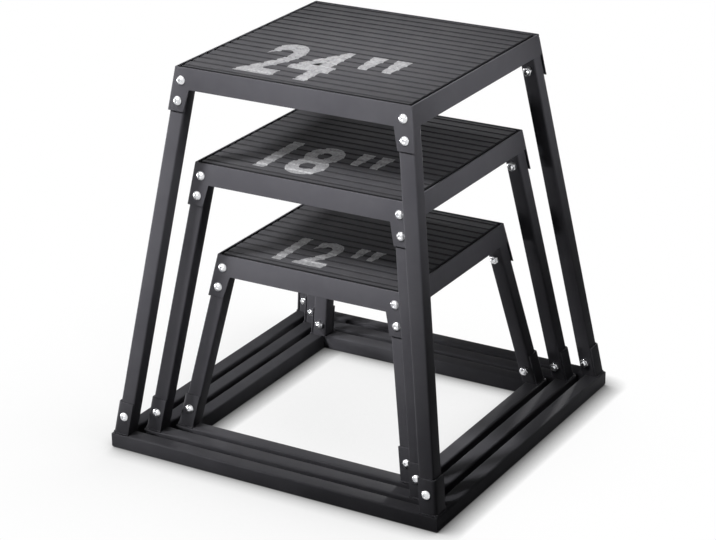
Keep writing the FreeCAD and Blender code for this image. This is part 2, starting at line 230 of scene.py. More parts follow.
def powderCoat():
    # The last four values paint shade onto the coat near the floor, where less light reaches
    look = {"dark": (0.054, 0.053, 0.06, 1), "light": (0.066, 0.065, 0.072, 1), "roughness": (0.52, 0.64),
            "specular": 0.03, "grainScale": 1100.0, "bumpDepth": 0.12 * mm, "bumpStrength": 0.35,
            "worn": (0.11, 0.11, 0.12, 1), "wornShare": 0.55, "wearRadius": 0.9 * mm, "wearScale": 55.0,
            "dust": (0.13, 0.13, 0.13, 1), "dustShare": 0.1, "dustScale": 22.0,
            "lowShade": (0.02, 0.02, 0.022, 1), "lowShadeShare": 0.6, "lowShadeHeight": 90 * mm, "lowShadeScale": 18.0}
    material, tree, shader, place = newMaterial("satinBlackPowderCoat")
    grain = useEffect(tree, "grain", {"Vector": place, "Scale": look["grainScale"]})
    wear = useEffect(tree, "wear", {"Vector": place, "Radius": look["wearRadius"],
                                    "Scale": look["wearScale"]})
    dust = useEffect(tree, "dust", {"Vector": place, "Scale": look["dustScale"]})
    # painted shade: the coat darkens towards the floor
    lowShade = useEffect(tree, "lowShade", {"Vector": place, "Height": look["lowShadeHeight"],
                                      "Scale": look["lowShadeScale"]})
    paint = driftingColour(tree, grain, look)
    for layer, effect in (("lowShade", lowShade), ("worn", wear), ("dust", dust)):
        paint = cover(tree, paint, look, layer, effect["Mask"])
    finishSurface(tree, shader, look, paint, grain)
    shader.inputs["Specular IOR Level"].default_value = look["specular"]
    return material


def ribbedRubber():
    look = {"dark": (0.029, 0.028, 0.031, 1), "light": (0.037, 0.037, 0.041, 1), "roughness": (0.62, 0.8),
            "specular": 0.1, "grainScale": 2200.0, "bumpDepth": 0.15 * mm, "bumpStrength": 0.5,
            # The next two values are painted shade for the grooves and the mat's side walls
            "deep": (0.008, 0.008, 0.009, 1), "deepShare": 0.85,
            "dust": (0.11, 0.11, 0.11, 1), "dustShare": 0.1, "dustScale": 30.0}
    material, tree, shader, place = newMaterial("ribbedBlackRubber")
    grain = useEffect(tree, "grain", {"Vector": place, "Scale": look["grainScale"]})
    dust = useEffect(tree, "dust", {"Vector": place, "Scale": look["dustScale"]})
    # painted shade, strongest at the groove floors and on the side walls
    depth = addNode(tree, "ShaderNodeAttribute", attribute_name="grooveShare").outputs["Fac"]
    rubber = driftingColour(tree, grain, look)
    for layer, mask in (("deep", depth), ("dust", dust["Mask"])):
        rubber = cover(tree, rubber, look, layer, mask)
    finishSurface(tree, shader, look, rubber, grain)
    shader.inputs["Specular IOR Level"].default_value = look["specular"]
    return material


def zincPlate():
    look = {"dull": (0.6, 0.61, 0.63, 1), "bright": (0.8, 0.8, 0.81, 1), "roughness": (0.2, 0.36),
            "spangleScale": 420.0, "grainScale": 3000.0, "bumpDepth": 0.03 * mm, "bumpStrength": 0.3}
    material, tree, shader, place = newMaterial("brightZincPlate")
    grain = useEffect(tree, "grain", {"Vector": place, "Scale": look["grainScale"]})
    spangle = addNode(tree, "ShaderNodeTexVoronoi", {"Vector": place, "Scale": look["spangleScale"]})
    patch = addNode(tree, "ShaderNodeSeparateXYZ", {0: spangle.outputs["Color"]}).outputs["X"]
    finishSurface(tree, shader, look, mixColours(tree, patch, look["dull"], look["bright"]), grain)
    shader.inputs["Metallic"].default_value = 1.0
    return material


def printedInk():
    look = {"ink": (0.19, 0.19, 0.195, 1), "thin": (0.1, 0.1, 0.105, 1), "roughness": (0.6, 0.75),
            "grainScale": 2200.0, "bumpDepth": 0.12 * mm, "bumpStrength": 0.5, "fleckScale": 260.0,
            "fleckDetail": 6.0, "fleckRange": (0.42, 0.66)}
    material, tree, shader, place = newMaterial("greyPrintingInk")
    grain = useEffect(tree, "grain", {"Vector": place, "Scale": look["grainScale"]})
    flecks = cloud(tree, place, look["fleckScale"], look["fleckDetail"])
    rubbed = remap(tree, flecks, *look["fleckRange"])
    finishSurface(tree, shader, look, mixColours(tree, rubbed, look["ink"], look["thin"]), grain)
    return material


finishes = {"steel": powderCoat(), "rubber": ribbedRubber(), "zinc": zincPlate(), "ink": printedInk()}
print("finishes ready:", ", ".join(finishes))


# Mesh helpers

sameSpot = 0.001 * mm                  # points nearer than this become one


def squareRing(half, radius, steps):   # square with rounded corners, from the front right corner round
    points = []
    for quarter, (sx, sy) in enumerate(ringSigns):
        for step in range(steps + 1):
            angle = quarterTurn * (quarter - 1 + step / steps)
            points.append(Vector((sx * (half - radius) + radius * math.cos(angle),
                                  sy * (half - radius) + radius * math.sin(angle), 0)))
    return points


def bridge(bm, low, high):             # faces between two loops of vertices
    for i in range(len(low)):
        j = (i + 1) % len(low)
        bm.faces.new((low[i], low[j], high[j], high[i]))


def skin(bm, rings, closed=False):     # faces between each ring of points and the next
    loops = [[bm.verts.new(point) for point in ring] for ring in rings]
    for low, high in zip(loops, loops[1:]):
        bridge(bm, low, high)
    if closed:
        bridge(bm, loops[-1], loops[0])
    return loops


def meshFrom(bm, name):
    bmesh.ops.remove_doubles(bm, verts=bm.verts, dist=sameSpot)
    bmesh.ops.recalc_face_normals(bm, faces=bm.faces)
    mesh = bpy.data.meshes.new(name)
    bm.to_mesh(mesh)
    bm.free()
    return mesh


def newObject(name, mesh, finish=None):
    piece = bpy.data.objects.new(name, mesh)
    scene.collection.objects.link(piece)
    if finish:
        mesh.materials.append(finishes[finish])
    return piece


def roundEdges(piece, width, segments, angle=40):    # only edges that turn by more than the angle, in degrees
    bevel = piece.modifiers.new("roundedEdges", "BEVEL")
    bevel.width = width
    bevel.segments = segments
    bevel.limit_method = "ANGLE"
    bevel.angle_limit = math.radians(angle)
    bevel.harden_normals = False


def freeze(piece, smoothAngle=35):     # modifiers become a plain mesh, shaded smooth up to the angle
    graph = bpy.context.evaluated_depsgraph_get()
    mesh = bpy.data.meshes.new_from_object(piece.evaluated_get(graph), preserve_all_data_layers=True,
                                           depsgraph=graph)
    piece.modifiers.clear()
    piece.data = mesh
    mesh.polygons.foreach_set("use_smooth", [True] * len(mesh.polygons))
    mesh.set_sharp_from_angle(angle=math.radians(smoothAngle))


def join(piece, box, slot, *nodes):    # the finished piece rides on its box and stands for its nodes
    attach(piece, box + "_box")
    if nodes:
        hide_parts(*nodes)


# Legs, sockets and base rails

tubeLook = {"corner": 3 * mm, "wall": 2 * mm, "steps": 6}
socketLook = {"corner": 6.3 * mm, "wall": 3 * mm, "edge": 0.6 * mm, "edgeSegments": 3}
railLook = {"seam": 0.35 * mm, "seamSegments": 2, "seamAngle": 30}


def leaningRing(layout, corner, half, radius, z):
    sx, sy = cornerSigns[corner]
    reach = legCentre(layout, z)
    middle = Vector((sx * reach, sy * reach, z))
    return [point + middle for point in squareRing(half, radius, tubeLook["steps"])]


def legTube(box, layout, corner):
    half, wall, bend = layout.tube / 2, tubeLook["wall"], tubeLook["corner"]
    stations = [(0, layout.legFoot), (0, layout.legTop), (wall, layout.legTop), (wall, layout.legFoot)]
    rings = [leaningRing(layout, corner, half - inset, bend - inset, z) for inset, z in stations]
    bm = bmesh.new()
    skin(bm, rings, closed=True)
    piece = newObject(f"{box}_leg_tube_{corner}", meshFrom(bm, "legTube"), "steel")
    freeze(piece)
    join(piece, box, "black_steel", f"{box}_leg_{corner}")


def angleSide(layout, corner, inset, z):   # round the leg's two outer faces, from one inner edge to the other
    sx, sy = cornerSigns[corner]
    reach, end = layout.socketGrip - layout.tube / 2 - inset, -layout.tube / 2
    bend = socketLook["corner"] - inset
    turns = [quarterTurn * step / tubeLook["steps"] for step in range(tubeLook["steps"] + 1)]
    spots = [(end, reach)]
    spots += [(reach - bend + bend * math.sin(turn), reach - bend + bend * math.cos(turn)) for turn in turns]
    spots += [(reach, end)]
    middle = legCentre(layout, z)
    return [Vector((sx * (middle + along), sy * (middle + deep), z)) for along, deep in spots]


def cornerSocket(box, layout, corner):
    rings = []
    for z in (layout.legFoot, layout.socketTop):
        rings.append(angleSide(layout, corner, 0, z) + angleSide(layout, corner, socketLook["wall"], z)[::-1])
    bm = bmesh.new()
    for loop in skin(bm, rings):
        bm.faces.new(loop)
    piece = newObject(f"{box}_corner_socket_{corner}", meshFrom(bm, "cornerSocket"), "steel")
    roundEdges(piece, socketLook["edge"], socketLook["edgeSegments"])
    freeze(piece)
    join(piece, box, "black_steel", f"{box}_socket_{corner}")


def baseRail(box, layout, side):
    half, wall, bend = layout.tube / 2, tubeLook["wall"], tubeLook["corner"]
    turn = Matrix.Rotation(quarterTurn * sideTurns[side], 3, "Z")

    def mitredRing(inset, end):        # runs along X, and the depth from the outer face sets the mitre
        section = squareRing(half - inset, bend - inset, tubeLook["steps"])
        return [turn @ Vector((end * (layout.baseHalf - half - point.x), half + point.x - layout.baseHalf,
                               half + point.y)) for point in section]

    bm = bmesh.new()
    skin(bm, [mitredRing(0, -1), mitredRing(0, 1), mitredRing(wall, 1), mitredRing(wall, -1)], closed=True)
    piece = newObject(f"{box}_base_rail_{side}", meshFrom(bm, "baseRail"), "steel")
    roundEdges(piece, railLook["seam"], railLook["seamSegments"], railLook["seamAngle"])
    freeze(piece)
    join(piece, box, "black_steel", f"{box}_rail_{side}")


# Platform tray: a folded sheet with a raised rim, leaning skirts and an ear at each end of the front and back

trayLook = {"sheet": 2.5 * mm, "deck": 2.5 * mm, "rimHeight": 5 * mm, "skirtDepth": 32 * mm,
            "earWidth": 31.8 * mm, "earTaper": 3.5 * mm, "recessCorner": 1.2 * mm, "cornerSteps": 6,
            "fold": 0.7 * mm, "foldSegments": 3}


def trayOutline(half, radius, earInner, z):    # rounded square with two ear points at the front and the back
    steps = trayLook["cornerSteps"]
    corners = squareRing(half, radius, steps)
    points = []
    for quarter, (sx, sy) in enumerate(ringSigns):
        points += corners[quarter * (steps + 1):(quarter + 1) * (steps + 1)]
        if quarter in (1, 3):
            points += [Vector((sx * earInner, sy * half, 0)), Vector((-sx * earInner, sy * half, 0))]
    return [point + Vector((0, 0, z)) for point in points]


def platformTray(box, layout):
    sheet, top = trayLook["sheet"], layout.rimTop
    skirtFoot = top - trayLook["skirtDepth"]
    deckTop = top - trayLook["rimHeight"]
    deckFoot = deckTop - trayLook["deck"]
    recess = layout.rimHalf - sheet
    footHalf = skirtHalf(layout, skirtFoot)
    earInner = footHalf - trayLook["earWidth"]
    bm = bmesh.new()
    loops = skin(bm, [trayOutline(footHalf, sheet, earInner, skirtFoot),
                      trayOutline(layout.rimHalf, sheet, earInner, top),
                      trayOutline(recess, trayLook["recessCorner"], earInner, top),
                      trayOutline(recess, trayLook["recessCorner"], earInner, deckTop)])
    bm.faces.new(loops[-1])
    foot, count = loops[0], trayLook["cornerSteps"] + 1
    starts = (0, count, 2 * count + 2, 3 * count + 2)      # ear points follow the second and the fourth arc
    arcs = [foot[start:start + count] for start in starts]
    backRight, backLeft = foot[2 * count:2 * count + 2]
    frontLeft, frontRight = foot[4 * count + 2:]

    def square(half, z):               # inner corners at one height
        return [bm.verts.new((sx * half, sy * half, z)) for sx, sy in ringSigns]

    inner = square(footHalf - sheet, skirtFoot)
    under = square(skirtHalf(layout, deckFoot) - sheet, deckFoot)
    innerEar = {vert: bm.verts.new(vert.co + Vector((0, math.copysign(sheet, -vert.co.y), 0)))
                for vert in (frontRight, backRight, backLeft, frontLeft)}
    bm.faces.new(under)
    # lower edges between the ears and of the side skirts, then the insides of all four skirts
    bm.faces.new((frontLeft, frontRight, innerEar[frontRight], innerEar[frontLeft]))
    bm.faces.new((backLeft, backRight, innerEar[backRight], innerEar[backLeft]))
    bm.faces.new((arcs[0][-1], arcs[1][0], inner[1], inner[0]))
    bm.faces.new((arcs[2][-1], arcs[3][0], inner[3], inner[2]))
    bm.faces.new((inner[3], innerEar[frontLeft], innerEar[frontRight], inner[0], under[0], under[3]))
    bm.faces.new((inner[1], innerEar[backRight], innerEar[backLeft], inner[2], under[2], under[1]))
    bm.faces.new((inner[0], inner[1], under[1], under[0]))
    bm.faces.new((inner[2], inner[3], under[3], under[2]))
    ears = [[frontRight, *arcs[0], inner[0], innerEar[frontRight]],
            [*arcs[1], backRight, innerEar[backRight], inner[1]],
            [backLeft, *arcs[2], inner[2], innerEar[backLeft]],
            [*arcs[3], frontLeft, innerEar[frontLeft], inner[3]]]
    drop = skirtFoot - layout.earFoot
    tapered = {*innerEar, *innerEar.values()}
    for (sx, sy), loop in zip(ringSigns, ears):
        shift = Vector((sx * layout.lean * drop, sy * layout.lean * drop, -drop))
        taper = Vector((sx * trayLook["earTaper"], 0, 0))
        low = [bm.verts.new(vert.co + shift + taper * (vert in tapered)) for vert in loop]
        bridge(bm, loop, low)
        bm.faces.new(low)
    piece = newObject(box + "_folded_tray", meshFrom(bm, "foldedTray"), "steel")
    roundEdges(piece, trayLook["fold"], trayLook["foldSegments"])
    freeze(piece)
    join(piece, box, "black_steel", box + "_platform_tray")


# Ribbed mat: a slab whose top dips into a groove at every step
# Its inset leaves a gap between the mat and the rim, and painted shade on its side walls and in its grooves
# darkens that line

matLook = {"pitch": 20.75 * mm, "groove": 6 * mm, "ribHeight": 1.2 * mm, "shoulder": 0.5 * mm,
           "row": 0.3 * mm, "inset": 3 * mm, "edge": 0.6 * mm, "edgeSegments": 2, "edgeAngle": 65,
           "smoothAngle": 50, "wallFacing": 0.5}


def grooveCount(layout):               # an odd number, so that one groove runs along the middle
    return 2 * math.floor((layout.matHalf - matLook["groove"] / 2) / matLook["pitch"]) + 1


def paintOut(tree, given, out, last):  # real geometry in the given finish
    real = addNode(tree, "GeometryNodeRealizeInstances", {"Geometry": last.outputs[0]})
    painted = addNode(tree, "GeometryNodeSetMaterial", {"Geometry": real.outputs[0],
                                                        "Material": given["Material"]})
    tree.links.new(painted.outputs[0], out["Geometry"])


def ribTree():
    sizes = ("Side", "Thickness", "Middle Height", "Pitch", "Rib Half", "Rib Height", "Shoulder",
             "Groove Reach", "Phase")
    tree, given, out = newGroup("GeometryNodeTree", "ribbedMat",
                                {"Geometry": "Geometry", **{size: "Float" for size in sizes}, "Rows": "Int",
                                 "Material": "Material"}, {"Geometry": "Geometry"})
    side = given["Side"]
    extent = addNode(tree, "ShaderNodeCombineXYZ", {0: side, 1: side, 2: given["Thickness"]})
    slab = addNode(tree, "GeometryNodeMeshCube", {"Size": extent.outputs[0], "Vertices X": 2, "Vertices Z": 2,
                                                  "Vertices Y": given["Rows"]})
    point = addNode(tree, "ShaderNodeSeparateXYZ", {0: addNode(tree, "GeometryNodeInputPosition").outputs[0]})
    shifted = compute(tree, "ADD", point.outputs["Y"], given["Phase"])
    halfPitch = product(tree, given["Pitch"], 0.5)
    minusHalf = product(tree, given["Pitch"], -0.5)
    fromRib = compute(tree, "ABSOLUTE", compute(tree, "WRAP", shifted, halfPitch, minusHalf))
    start = compute(tree, "SUBTRACT", given["Rib Half"], given["Shoulder"])
    end = compute(tree, "ADD", given["Rib Half"], given["Shoulder"])
    dip = addNode(tree, "ShaderNodeMapRange", {0: fromRib, 1: start, 2: end, 3: 0.0, 4: given["Rib Height"]},
                  interpolation_type="SMOOTHSTEP")
    reach = compute(tree, "ABSOLUTE", point.outputs["Y"])
    grooved = compute(tree, "LESS_THAN", reach, given["Groove Reach"])
    onTop = compute(tree, "GREATER_THAN", point.outputs["Z"], 0.0)
    depth = product(tree, product(tree, dip.outputs[0], grooved), onTop)
    lift = compute(tree, "SUBTRACT", given["Middle Height"], depth)
    offset = addNode(tree, "ShaderNodeCombineXYZ", {2: lift})
    # Painted shade: the dip's share of the rib height, and full on faces that do not look up
    sunk = compute(tree, "DIVIDE", depth, given["Rib Height"])
    facing = addNode(tree, "ShaderNodeSeparateXYZ", {0: addNode(tree, "GeometryNodeInputNormal").outputs[0]})
    wall = compute(tree, "LESS_THAN", facing.outputs["Z"], matLook["wallFacing"])
    share = compute(tree, "MAXIMUM", sunk, wall)
    marked = addNode(tree, "GeometryNodeStoreNamedAttribute",
                     {"Geometry": slab.outputs["Mesh"], "Name": "grooveShare", "Value": share},
                     data_type="FLOAT", domain="FACE")
    ribbed = addNode(tree, "GeometryNodeSetPosition", {"Geometry": marked.outputs[0],
                                                       "Offset": offset.outputs[0]})
    paintOut(tree, given, out, ribbed)
    return tree


def runTree(piece, tree, values):      # inputs are set by identifier before the first evaluation
    modifier = piece.modifiers.new(tree.name, "NODES")
    modifier.node_group = tree
    for socket in tree.interface.items_tree:
        if socket.in_out == "INPUT" and socket.name in values:
            modifier[socket.identifier] = values[socket.name]


def ribbedMat(box, layout, tree):
    piece = newObject(box + "_rubber_mat", bpy.data.meshes.new("rubberMat"))
    pitch = matLook["pitch"]
    side = 2 * (layout.matHalf - matLook["inset"])
    runTree(piece, tree, {
        "Side": side, "Thickness": layout.matTop - layout.matFoot,
        "Middle Height": (layout.matTop + layout.matFoot) / 2, "Pitch": pitch,
        "Rib Half": (pitch - matLook["groove"]) / 2, "Rib Height": matLook["ribHeight"],
        "Shoulder": matLook["shoulder"], "Groove Reach": grooveCount(layout) * pitch / 2,
        "Phase": pitch / 2, "Rows": round(side / matLook["row"]), "Material": finishes["rubber"]})
    roundEdges(piece, matLook["edge"], matLook["edgeSegments"], matLook["edgeAngle"])
    freeze(piece, matLook["smoothAngle"])
    join(piece, box, "black_rubber", box + "_ribbed_mat")


# Height marks: plain numerals printed over the ribs and grooves, with an inch mark beside them

markLook = {
    "large": {"text": "24", "height": 150 * mm, "width": 134 * mm, "left": -117 * mm, "margin": 23 * mm},
    "middle": {"text": "18", "height": 123 * mm, "width": 106 * mm, "left": -99 * mm, "margin": 23 * mm},
    "small": {"text": "12", "height": 99 * mm, "width": 88 * mm, "left": -81 * mm, "margin": 21 * mm},
    "bold": 0.025, "film": 0.2 * mm, "curveSteps": 6, "shoulderCuts": 5, "inchGapShare": 0.14,
    "inchHeightShare": 0.4, "inchStrokeShare": 0.17, "inchStepShare": 0.27, "inchTaperShare": 0.4}


def numeralOutline(text):              # filled figures in the XY plane
    curve = bpy.data.curves.new("figures", "FONT")
    curve.body = text
    curve.offset = markLook["bold"]
    curve.resolution_u = markLook["curveSteps"]
    holder = newObject("figures", curve)
    graph = bpy.context.evaluated_depsgraph_get()
    mesh = bpy.data.meshes.new_from_object(holder.evaluated_get(graph), depsgraph=graph)
    bpy.data.objects.remove(holder)
    return mesh


def inchMark(bm, mark, foot):          # two tapering strokes beside the figures
    inch = mark["height"]
    crown = foot + inch
    tip = crown - inch * markLook["inchHeightShare"]
    width = inch * markLook["inchStrokeShare"]
    pinch = width * markLook["inchTaperShare"] / 2
    for stroke in range(2):
        gap = inch * (markLook["inchGapShare"] + stroke * markLook["inchStepShare"])
        left = mark["left"] + mark["width"] + gap
        outline = ((left, crown), (left + pinch, tip), (left + width - pinch, tip), (left + width, crown))
        bm.faces.new([bm.verts.new((x, y, 0)) for x, y in outline])


def cutAtGrooves(bm, layout):          # cuts along each shoulder let the ink follow the groove
    grooves, cuts = grooveCount(layout), markLook["shoulderCuts"]
    for index in range(grooves):
        groove = (index - (grooves - 1) / 2) * matLook["pitch"]
        for side in (-1, 1):
            for step in range(cuts + 1):
                reach = matLook["groove"] / 2 + matLook["shoulder"] * (1 - 2 * step / cuts)
                bmesh.ops.bisect_plane(bm, geom=[*bm.verts, *bm.edges, *bm.faces],
                                       plane_co=(0, groove + side * reach, 0), plane_no=(0, 1, 0))


def ribDip(layout, y):                 # how far the top of the mat lies below its ribs
    pitch, shoulder = matLook["pitch"], matLook["shoulder"]
    if abs(y) > grooveCount(layout) * pitch / 2:
        return 0
    fromRib = abs(y % pitch - pitch / 2)
    share = (fromRib - (pitch - matLook["groove"]) / 2 + shoulder) / (2 * shoulder)
    share = min(1, max(0, share))
    return matLook["ribHeight"] * share * share * (3 - 2 * share)    # smooth step, as in the mat's tree


def heightMark(box, layout):
    mark, film = markLook[box], markLook["film"]
    bm = bmesh.new()
    bm.from_mesh(numeralOutline(mark["text"]))
    low = Vector([min(vert.co[axis] for vert in bm.verts) for axis in range(3)])
    high = Vector([max(vert.co[axis] for vert in bm.verts) for axis in range(3)])
    foot = -layout.matHalf + mark["margin"]
    for vert in bm.verts:
        across = (vert.co.x - low.x) / (high.x - low.x)
        along = (vert.co.y - low.y) / (high.y - low.y)
        vert.co = Vector((mark["left"] + across * mark["width"], foot + along * mark["height"], 0))
    inchMark(bm, mark, foot)
    cutAtGrooves(bm, layout)
    for vert in bm.verts:
        vert.co.z = layout.matTop - ribDip(layout, vert.co.y) + film
    thick = bmesh.ops.extrude_face_region(bm, geom=list(bm.faces))
    for item in thick["geom"]:
        if isinstance(item, bmesh.types.BMVert):
            item.co.z -= 2 * film
    piece = newObject(box + "_height_mark", meshFrom(bm, "heightMark"), "ink")
    freeze(piece)
    join(piece, box, "black_rubber")


# Fasteners: button-head bolts with a hexagon socket, and hexagon nuts

boltLook = {"shank": 4 * mm, "head": 7 * mm, "headHeight": 4.4 * mm, "headEdge": 0.9 * mm,
            "headFoot": 0.3 * mm, "key": 2.5 * mm, "keyDepth": 2.4 * mm, "keyChamfer": 0.25 * mm,
            "keyRimShare": 1.35, "pitch": 1.25 * mm, "threadDepth": 0.55 * mm, "threadLength": 17 * mm,
            "endChamfer": 0.8 * mm, "length": 38.1 * mm, "around": 24, "domeRows": 6, "rowsPerPitch": 4}
nutLook = {"flats": 6.5 * mm, "height": 6.8 * mm, "bore": 4.05 * mm, "boreChamfer": 0.6 * mm,
           "faceShare": 0.93, "chamferSlope": 1.7, "chamferRows": 4, "chamferDepth": 0.9 * mm, "around": 36}
fastenerRows = {"upperDrop": 19 * mm, "lowerDrop": 50 * mm, "footRise": 29 * mm, "plateGap": 0.3 * mm}


def hexRadius(flats, angle):           # distance from the axis to a hexagon's side
    sector = math.pi / 3
    return flats / math.cos((angle + sector / 2) % sector - sector / 2)


def latheMesh(name, rows, around, closed):     # each row gives a radius and a height for every angle
    angles = [math.tau * step / around for step in range(around)]
    rings = []
    for row in rows:
        spots = [row(angle) for angle in angles]
        rings.append([Vector((r * math.cos(a), r * math.sin(a), z)) for a, (r, z) in zip(angles, spots)])
    bm = bmesh.new()
    loops = skin(bm, rings, closed)
    if not closed:
        bm.faces.new(loops[0])
        bm.faces.new(loops[-1])
    return meshFrom(bm, name)


def circle(radius, z):
    return lambda angle: (radius, z)


def boltShape():
    look = SimpleNamespace(**boltLook)
    crown = look.headHeight - look.headEdge
    dome = (look.head**2 + crown**2) / (2 * crown)     # radius of the dome through the rim and the crown

    def domeHeight(radius):
        return look.headEdge + crown - dome + math.sqrt(dome**2 - radius**2)

    def thread(z):
        def spot(angle):
            turn = (z / look.pitch - angle / math.tau) % 1
            return look.shank - look.threadDepth * abs(2 * turn - 1), z
        return spot

    def keySpot(widen, z=None):
        def spot(angle):
            radius = hexRadius(look.key + widen, angle)
            return radius, domeHeight(radius) if z is None else z
        return spot

    end = -look.length
    threadFrom = end + look.endChamfer
    count = round(look.threadLength / look.pitch * look.rowsPerPitch)
    rows = [circle(look.shank - look.endChamfer, end)]
    rows += [thread(threadFrom + look.threadLength * step / count) for step in range(count + 1)]
    rows += [circle(look.shank, threadFrom + look.threadLength + look.pitch), circle(look.shank, 0)]
    rows += [circle(look.head - look.headFoot, 0), circle(look.head, look.headFoot)]
    rows += [circle(look.head, look.headEdge)]
    rim = look.keyRimShare * look.key
    for step in range(1, look.domeRows + 1):
        radius = look.head + (rim - look.head) * step / look.domeRows
        rows.append(circle(radius, domeHeight(radius)))
    floor = look.headHeight - look.keyDepth
    rows += [keySpot(look.keyChamfer), keySpot(0, look.headHeight - 2 * look.keyChamfer), keySpot(0, floor)]
    return latheMesh("boltShape", rows, look.around, closed=False)


def nutShape():
    look = SimpleNamespace(**nutLook)
    face = look.flats * look.faceShare

    def side(depth, z):                # the cone that chamfers the corners
        return lambda angle: (min(hexRadius(look.flats, angle), face + look.chamferSlope * depth), z)

    depths = [look.chamferDepth * step / look.chamferRows for step in range(look.chamferRows + 1)]
    rows = [circle(look.bore, 0)]
    rows += [side(depth, -depth) for depth in depths]
    rows += [side(depth, depth - look.height) for depth in reversed(depths)]
    rows += [circle(look.bore + look.boreChamfer, -look.height)]
    rows += [circle(look.bore, look.boreChamfer - look.height)]
    return latheMesh("nutShape", rows, look.around, closed=True)


def fastenerTree():
    tree, given, out = newGroup("GeometryNodeTree", "fastenerSet",
                                {"Geometry": "Geometry", "Shape": "Object", "Seed": "Int",
                                 "Material": "Material"}, {"Geometry": "Geometry"})
    shape = addNode(tree, "GeometryNodeObjectInfo", {"Object": given["Shape"]})
    aim = addNode(tree, "GeometryNodeInputNamedAttribute", {"Name": "aim"}, data_type="FLOAT_VECTOR")
    outward = addNode(tree, "FunctionNodeAlignRotationToVector", {"Vector": aim.outputs[0]}, axis="Z")
    roll = addNode(tree, "FunctionNodeRandomValue", {"Seed": given["Seed"]}, data_type="FLOAT")
    angle = product(tree, roll.outputs[1], math.tau)
    spin = addNode(tree, "FunctionNodeAxisAngleToRotation", {"Axis": (0, 0, 1), "Angle": angle})
    turned = addNode(tree, "FunctionNodeRotateRotation", {0: outward.outputs[0], 1: spin.outputs[0]},
                     rotation_space="LOCAL")
    placed = addNode(tree, "GeometryNodeInstanceOnPoints",
                     {"Points": given["Geometry"], "Instance": shape.outputs["Geometry"],
                      "Rotation": turned.outputs[0]})
    paintOut(tree, given, out, placed)
    return tree


def boltSeats(layout):                 # seat, outward direction and grip of every bolt
    rows = fastenerRows
    plateGrip = trayLook["sheet"] + rows["plateGap"] + layout.tube
    for sx, sy in cornerSigns.values():
        aim = Vector((0, sy, layout.lean)) / layout.slant
        for drop in (rows["upperDrop"], rows["lowerDrop"]):
            z = layout.rimTop - drop
            seat = Vector((sx * legCentre(layout, z), sy * skirtHalf(layout, z), z))
            yield seat, aim, plateGrip / layout.slant
        z = layout.legFoot + rows["footRise"]
        face = legCentre(layout, z) + layout.socketGrip - layout.tube / 2
        yield Vector((sx * legCentre(layout, z), sy * face, z)), aim, layout.socketGrip / layout.slant


def fastenerSet(box, name, node, shape, tree, seats, seed):
    mesh = bpy.data.meshes.new(name)
    mesh.from_pydata([seat for seat, aim in seats], [], [])
    aims = mesh.attributes.new("aim", "FLOAT_VECTOR", "POINT")
    aims.data.foreach_set("vector", [value for seat, aim in seats for value in aim])
    piece = newObject(f"{box}_{name}", mesh)
    runTree(piece, tree, {"Shape": shape, "Seed": seed, "Material": finishes["zinc"]})
    freeze(piece)
    join(piece, box, "zinc_steel", f"{box}_{node}")


# Weld beads where the sockets stand on the base rails

weldLook = {"step": 1.7 * mm, "radius": 1.9 * mm, "flatten": (0.75, 1.0, 0.8), "jitter": 0.16, "segments": 8,
            "rings": 6, "lift": 0.2 * mm, "path": 0.5 * mm, "smoothAngle": 60}


def weldTree():
    tree, given, out = newGroup("GeometryNodeTree", "weldBead",
                                {"Geometry": "Geometry", "Step": "Float", "Radius": "Float",
                                 "Flatten": "Vector", "Jitter": "Float", "Seed": "Int",
                                 "Material": "Material"}, {"Geometry": "Geometry"})
    path = addNode(tree, "GeometryNodeMeshToCurve", {"Mesh": given["Geometry"]})
    spaced = addNode(tree, "GeometryNodeResampleCurve", {"Curve": path.outputs[0], "Length": given["Step"]},
                     mode="LENGTH")
    drop = addNode(tree, "GeometryNodeMeshUVSphere",
                   {"Segments": weldLook["segments"], "Rings": weldLook["rings"], "Radius": given["Radius"]})
    tangent = addNode(tree, "GeometryNodeInputTangent")
    along = addNode(tree, "FunctionNodeAlignRotationToVector", {"Vector": tangent.outputs[0]}, axis="X")
    least = compute(tree, "SUBTRACT", 1.0, given["Jitter"])
    most = compute(tree, "ADD", 1.0, given["Jitter"])
    size = addNode(tree, "FunctionNodeRandomValue", {2: least, 3: most, "Seed": given["Seed"]},
                   data_type="FLOAT")
    scale = addNode(tree, "ShaderNodeVectorMath", {0: given["Flatten"], "Scale": size.outputs[1]},
                    operation="SCALE")
    placed = addNode(tree, "GeometryNodeInstanceOnPoints",
                     {"Points": spaced.outputs[0], "Instance": drop.outputs["Mesh"],
                      "Rotation": along.outputs[0], "Scale": scale.outputs[0]})
    paintOut(tree, given, out, placed)
    return tree


def weldPath(layout, corner):          # along the outside of a socket's foot
    corners = angleSide(layout, corner, 0, layout.legFoot + weldLook["lift"])
    points = []
    for begin, end in zip(corners, corners[1:]):
        count = max(1, round((end - begin).length / weldLook["path"]))
        points += [begin.lerp(end, step / count) for step in range(count)]
    return points


def weldBeads(box, layout, tree, seed):
    verts, edges = [], []
    for corner in cornerSigns:
        path = weldPath(layout, corner)
        edges += [(len(verts) + i, len(verts) + i + 1) for i in range(len(path) - 1)]
        verts += path
    mesh = bpy.data.meshes.new("weldBeads")
    mesh.from_pydata(verts, edges, [])
    piece = newObject(box + "_weld_beads", mesh)
    runTree(piece, tree, {"Step": weldLook["step"], "Radius": weldLook["radius"],
                          "Flatten": weldLook["flatten"], "Jitter": weldLook["jitter"], "Seed": seed,
                          "Material": finishes["steel"]})
    freeze(piece, weldLook["smoothAngle"])
    join(piece, box, "black_steel")


# All three boxes

